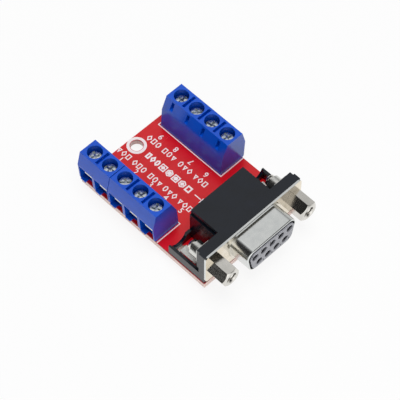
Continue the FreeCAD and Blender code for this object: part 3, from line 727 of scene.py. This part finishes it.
def solder_joint(x, y, base, tip):
    """Solder that wets its pad and climbs the lead: wide and thin below, narrow at the tip."""
    centre = (x, y, BOARD_UNDERSIDE)
    bpy.ops.object.select_all(action="DESELECT")
    bpy.ops.mesh.primitive_circle_add(vertices=28, radius=base, fill_type="NGON", location=centre)
    joint = bpy.context.object
    settle(joint)
    edit_all()
    radius = base
    for step in range(1, JOINT_STEPS + 1):
        wanted = tip + (base - tip) * (1 - step / JOINT_STEPS) ** JOINT_CURVE
        bpy.ops.mesh.extrude_region_move(
            TRANSFORM_OT_translate={"value": (0, 0, -JOINT_HEIGHT / JOINT_STEPS)})
        ratio = wanted / radius
        bpy.ops.transform.resize(value=(ratio, ratio, 1), center_override=centre)
        radius = wanted
    close_outward()
    return joint


def solder_pad(x, y, radius, width, sides=32):
    return layer_shape(x, y, radius, radius, sides=sides, width=width,
                       z=BOARD_UNDERSIDE, height=-PAD_HEIGHT)


def solder_leads():
    """Solder and a pad round each lead, and a pad round each strap's hole."""
    pads = []
    terminal_places = [(math.copysign(TERMINAL_LEAD_X, place.x), place.y)
                       for place in POLE_PLACES.values()]
    contact_places = [tail_of(contact) for contact in CONTACTS]
    for name, places, joint, pad in (
            ("terminal_solder", terminal_places, TERMINAL_JOINT, TERMINAL_PAD),
            ("contact_solder", contact_places, CONTACT_JOINT, CONTACT_PAD)):
        joints = [solder_joint(x, y, *joint) for x, y in places]
        pads += [solder_pad(x, y, *pad) for x, y in places]
        piece = finish_piece(join(joints), f"{name}_joints", "root", "solder", smooth=50)
        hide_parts(name)
    for side_name in ("left", "right"):
        strap_x = centre_of(f"strap_{side_name}").x
        pads.append(solder_pad(strap_x, STRAP_HOLE_Y, *STRAP_PAD, sides=48))
    finish_piece(join(pads), "solder_pads", "root", "solder")


# Numbers. The digits of the built-in typeface are smaller than its size by the ratio.
CAP_RATIO = 1.38
CONTACT_NUMBER_HEIGHT = 0.5 * MM
CONTACT_NUMBER_WEIGHT = 0.01 * MM
UPPER_NUMBER = (-0.85 * MM, 2.5 * MM)
LOWER_NUMBER = (1.3 * MM, -2.35 * MM)
POLE_NUMBER_HEIGHT = 1.5 * MM
POLE_NUMBER_WEIGHT = 0.02 * MM
LEFT_NUMBER_X, RIGHT_NUMBER_X = -5.45 * MM, 5.85 * MM
LEFT_NUMBER_SHIFT = -0.45 * MM


def raised_number(text, height, relief, weight):
    """A plain number lying at the origin, as thick as its relief, its strokes wider by a weight."""
    bpy.ops.object.select_all(action="DESELECT")
    bpy.ops.object.text_add(location=(0, 0, 0))
    number = bpy.context.object
    number.data.body = text
    number.data.align_x = "CENTER"
    number.data.align_y = "CENTER"
    number.data.size = height * CAP_RATIO
    number.data.offset = weight
    number.data.extrude = relief / 2
    number.data.resolution_u = 4
    bpy.ops.object.convert(target="MESH")
    return bpy.context.object


def number_contacts():
    """Small numbers on the insulator's face, one beside each contact hole, black as painted shade.
    """
    face_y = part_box("socket_shell")[0].y + RELIEF
    digits = []
    for contact in CONTACTS:
        shift_x, z = UPPER_NUMBER if contact <= LAST_UPPER_CONTACT else LOWER_NUMBER
        digit = raised_number(str(contact), CONTACT_NUMBER_HEIGHT, 2 * RELIEF,
                              CONTACT_NUMBER_WEIGHT)
        digit.rotation_euler = (math.pi / 2, 0, 0)
        digit.location = (tail_of(contact)[0] + shift_x, face_y, z)
        settle(digit)
        digits.append(digit)
    # The numbers are black as painted shade, standing for the shade in engraved digits
    finish_piece(join(digits), "contact_numbers_painted_shade", "root", "black_polyester")


def print_numbers():
    """The number of each pole on the board, beside its terminal."""
    digits = []
    for pole, place in POLE_PLACES.items():
        left = place.x < 0
        number = raised_number(str(pole), POLE_NUMBER_HEIGHT, INK_HEIGHT, POLE_NUMBER_WEIGHT)
        number.location = (LEFT_NUMBER_X if left else RIGHT_NUMBER_X,
                           place.y + (LEFT_NUMBER_SHIFT if left else 0),
                           BOARD_TOP + INK_HEIGHT / 2)
        number.rotation_euler = (0, 0, -math.pi / 2 if left else math.pi / 2)
        settle(number)
        digits.append(number)
    finish_piece(join(digits), "printed_numbers", "root", "screen_ink")


# Printed lines and shapes
LINE = 0.25 * MM
OUTLINE_GAP = 0.22 * MM
RING_GAP = 0.12 * MM
RING_WIDTH = 0.72 * MM
# Shapes of the marks: sides, turn, and how far a corner reaches along x and y for 1
SQUARE = (4, math.pi / 4, 1.3, 1.3)
DIAMOND = (4, 0, 1.08, 1.15)
TRIANGLE = (3, math.pi / 2, 1.12, 1.1)
HEXAGON = (6, math.pi / 6, 1.05, 1.05)
SMALL_KINDS = (SQUARE, DIAMOND, TRIANGLE, HEXAGON)
# Sizes of the marks in millimetres: half along x, half along y, and the width of an outline
SMALL_MARK = (0.85, 0.58, 0.25)
BOLD_MARK = (0.95, 0.62, 0.42)
PAIR_OUTER, PAIR_INNER = (1.02, 0.98, 0.3), (0.56, 0.56)
LAST_MARK = (0.95, 0.85, 0.4)
# Places of the marks in millimetres: x and the middles of the groups of three along y
SMALL_PITCH = 1.5
SMALL_GROUPS = ((-3.7, (39.3, 34.1, 28.7, 23.7, 18.7)), (3.7, (36.8, 31.55, 26.2, 21.1)))
# The bold row stands at the middle of the board, each mark at its place along y
BOLD_OUTLINES = ((34.75, SQUARE), (33.25, DIAMOND), (31.75, HEXAGON))
BOLD_PAIRS = ((29.85, SQUARE, DIAMOND), (27.7, HEXAGON, SQUARE), (25.55, SQUARE, HEXAGON),
              (23.4, HEXAGON, DIAMOND))
LAST_MARK_Y = 21.3
STROKES = ((-0.13, 0.13, 17.2, 19.2), (-0.95, 0.68, 16.75, 17.05))


def print_outlines():
    """A line round each terminal row, where it stands on the board, and the ring of the hole."""
    lines = []
    left_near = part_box("three_way_housing")[0].y - OUTLINE_GAP
    left_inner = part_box("three_way_housing")[1].x + OUTLINE_GAP
    lines.append(layer_bar(board_low.x, left_inner, left_near - LINE, left_near))
    lines.append(layer_bar(left_inner - LINE, left_inner, left_near, board_high.y - LINE))
    right_low, right_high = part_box("four_way_housing")
    right_near = right_low.y - OUTLINE_GAP / 2
    right_far = right_high.y + 2 * OUTLINE_GAP
    right_inner = right_low.x - OUTLINE_GAP / 2
    lines.append(layer_bar(right_inner - LINE, board_high.x, right_near - LINE, right_near))
    lines.append(layer_bar(right_inner - LINE, right_inner, right_near, right_far))
    lines.append(layer_bar(right_inner - LINE, board_high.x, right_far, right_far + LINE))
    hole = MOUNTS["mounting_hole"]
    radius = hole["dims"]["r_mm"] * MM + RING_GAP + RING_WIDTH
    lines.append(layer_shape(hole["pos_m"][0], hole["pos_m"][1], radius, radius, width=RING_WIDTH))
    finish_piece(join(lines), "printed_outlines", "root", "screen_ink")


def mark(kind, x, y, half_x, half_y, width=None):
    """One printed shape: solid, or an outline of a width. The lengths are in millimetres."""
    sides, turn, reach_x, reach_y = kind
    return layer_shape(x * MM, y * MM, half_x * MM * reach_x, half_y * MM * reach_y, sides, turn,
                       width * MM if width else None)


def print_marks():
    """Plain printed shapes: small outlines beside the poles, and a bold row along the middle."""
    shapes = []
    small_places = [(x, middle + step * SMALL_PITCH)
                    for x, middles in SMALL_GROUPS for middle in middles for step in (-1, 0, 1)]
    for number, (x, y) in enumerate(small_places):
        shapes.append(mark(SMALL_KINDS[number % len(SMALL_KINDS)], x, y, *SMALL_MARK))
    for y, kind in BOLD_OUTLINES:
        shapes.append(mark(kind, 0, y, *BOLD_MARK))
    for y, outer, inner in BOLD_PAIRS:
        shapes.append(mark(outer, 0, y, *PAIR_OUTER))
        shapes.append(mark(inner, 0, y, *PAIR_INNER))
    shapes.append(mark(SQUARE, 0, LAST_MARK_Y, *LAST_MARK))
    for stroke in STROKES:
        shapes.append(layer_bar(*(edge * MM for edge in stroke)))
    finish_piece(join(shapes), "printed_marks", "root", "screen_ink")


fit_sills()
lay_tracks()
solder_leads()
number_contacts()
print_outlines()
print_numbers()
print_marks()


# Studio: pale floor, plain soft light, camera at the photograph's angle

CAMERA_TARGET = Vector((-2.481, 14.942, -0.8)) * MM
CAMERA_AZIMUTH = math.radians(-44.577)
CAMERA_ELEVATION = math.radians(56.625)
CAMERA_DISTANCE = 440.318 * MM
CAMERA_LENS = 172.24
WHITE = (1, 1, 1, 1)
PAPER = (0.85, 0.85, 0.85, 1)
PAPER_GLOW = 0.88
# Round patches of the world: centre, cosines where a patch begins and is full, brightness
FRONT_FILL = ((-0.55, -0.8, -0.22), 0.25, 0.8, 1.35)
BACK_CEILING = ((0.386, 0.392, 0.835), 0.86, 0.95, 0.72)
OVERHEAD = ((0, 0, 1), 0.9, 0.98, 0.45)
ROOM_LEVEL = 0.025
# The low wall on the right: where it begins and is full along x, and where it ends along z
WALL_X = (0.45, 0.8)
WALL_Z = (0.3, 0.6)
WALL_LEVEL = 0.6
LAMP_PLACE = Vector((-0.02, -0.03, 0.5))
LAMP_AIM = Vector((0, 0.018, 0))
LAMP_SIZE = 0.36
LAMP_WATTS = 1.9


def aim(thing, direction):
    thing.rotation_mode = "QUATERNION"
    thing.rotation_quaternion = direction.to_track_quat("-Z", "Y")


def add_camera():
    back = Vector((math.sin(CAMERA_AZIMUTH) * math.cos(CAMERA_ELEVATION),
                   -math.cos(CAMERA_AZIMUTH) * math.cos(CAMERA_ELEVATION),
                   math.sin(CAMERA_ELEVATION)))
    camera = bpy.data.objects.new("camera", bpy.data.cameras.new("camera"))
    bpy.context.collection.objects.link(camera)
    camera.data.lens = CAMERA_LENS
    camera.data.clip_start = 0.01
    camera.data.clip_end = 10
    camera.location = CAMERA_TARGET + back * CAMERA_DISTANCE
    aim(camera, -back)
    bpy.context.scene.camera = camera


def add_floor():
    """White paper under the object. The camera and reflections see it mostly as plain white."""
    bpy.ops.object.select_all(action="DESELECT")
    bpy.ops.mesh.primitive_plane_add(size=6, location=(0, 0, cad_box[0].z))
    floor = bpy.context.object
    floor.name = "floor"
    material, tree, shader = new_material("studio_paper", roughness=0.9)
    shader.inputs["Base Color"].default_value = PAPER
    glow = add_node(tree, "ShaderNodeEmission", {"Color": WHITE, "Strength": 1.0})
    path = add_node(tree, "ShaderNodeLightPath")
    seen = calculate(tree, "MAXIMUM", path.outputs["Is Camera Ray"], path.outputs["Is Glossy Ray"])
    seen = calculate(tree, "MAXIMUM", seen, path.outputs["Is Transmission Ray"])
    share = calculate(tree, "MULTIPLY", seen, PAPER_GLOW)
    mixed = add_node(tree, "ShaderNodeMixShader", {
        0: share, 1: shader.outputs["BSDF"], 2: glow.outputs["Emission"]})
    tree.links.new(mixed.outputs["Shader"], tree.nodes["Material Output"].inputs["Surface"])
    floor.data.materials.append(material)


def add_lamp():
    """A soft round lamp. Gloss mirrors the pale patches of the world in its place."""
    lamp = bpy.data.objects.new("softbox", bpy.data.lights.new("softbox", "AREA"))
    bpy.context.collection.objects.link(lamp)
    lamp.data.shape = "DISK"
    lamp.data.size = LAMP_SIZE
    lamp.data.energy = LAMP_WATTS
    lamp.visible_glossy = False
    lamp.location = LAMP_PLACE
    aim(lamp, LAMP_AIM - LAMP_PLACE)


def pale_patch(tree, centre, low, high, level, base=0.0):
    """Light that grows towards a centre of the world, as its cosine goes from low to high."""
    direction = add_node(tree, "ShaderNodeTexCoord").outputs["Generated"]
    cosine = add_node(tree, "ShaderNodeVectorMath", {0: direction, 1: centre},
                      operation="DOT_PRODUCT")
    return between(tree, cosine.outputs["Value"], low, high, base, level)


def add_world():
    """Dim studio: bright in front on the left, pale low on the right and high at the back right."""
    world = bpy.data.worlds.new("studio")
    bpy.context.scene.world = world
    world.use_nodes = True
    tree = world.node_tree
    tree.nodes.clear()
    to_right = between(tree, coordinate(tree, "Generated", "X"), *WALL_X, 0, 1)
    is_low = between(tree, coordinate(tree, "Generated", "Z"), *WALL_Z, 1, 0)
    wall = calculate(tree, "MULTIPLY", calculate(tree, "MULTIPLY", to_right, is_low), WALL_LEVEL)
    level = pale_patch(tree, *FRONT_FILL, ROOM_LEVEL)
    for patch in (wall, pale_patch(tree, *BACK_CEILING), pale_patch(tree, *OVERHEAD)):
        level = calculate(tree, "ADD", level, patch)
    sky = add_node(tree, "ShaderNodeBackground", {"Color": WHITE, "Strength": level})
    white = add_node(tree, "ShaderNodeBackground", {"Color": WHITE, "Strength": 1.0})
    path = add_node(tree, "ShaderNodeLightPath")
    mixed = add_node(tree, "ShaderNodeMixShader", {
        0: path.outputs["Is Camera Ray"], 1: sky.outputs["Background"],
        2: white.outputs["Background"]})
    output = add_node(tree, "ShaderNodeOutputWorld")
    tree.links.new(mixed.outputs["Shader"], output.inputs["Surface"])


add_camera()
add_floor()
add_world()
add_lamp()
bpy.context.scene.view_settings.view_transform = "Standard"
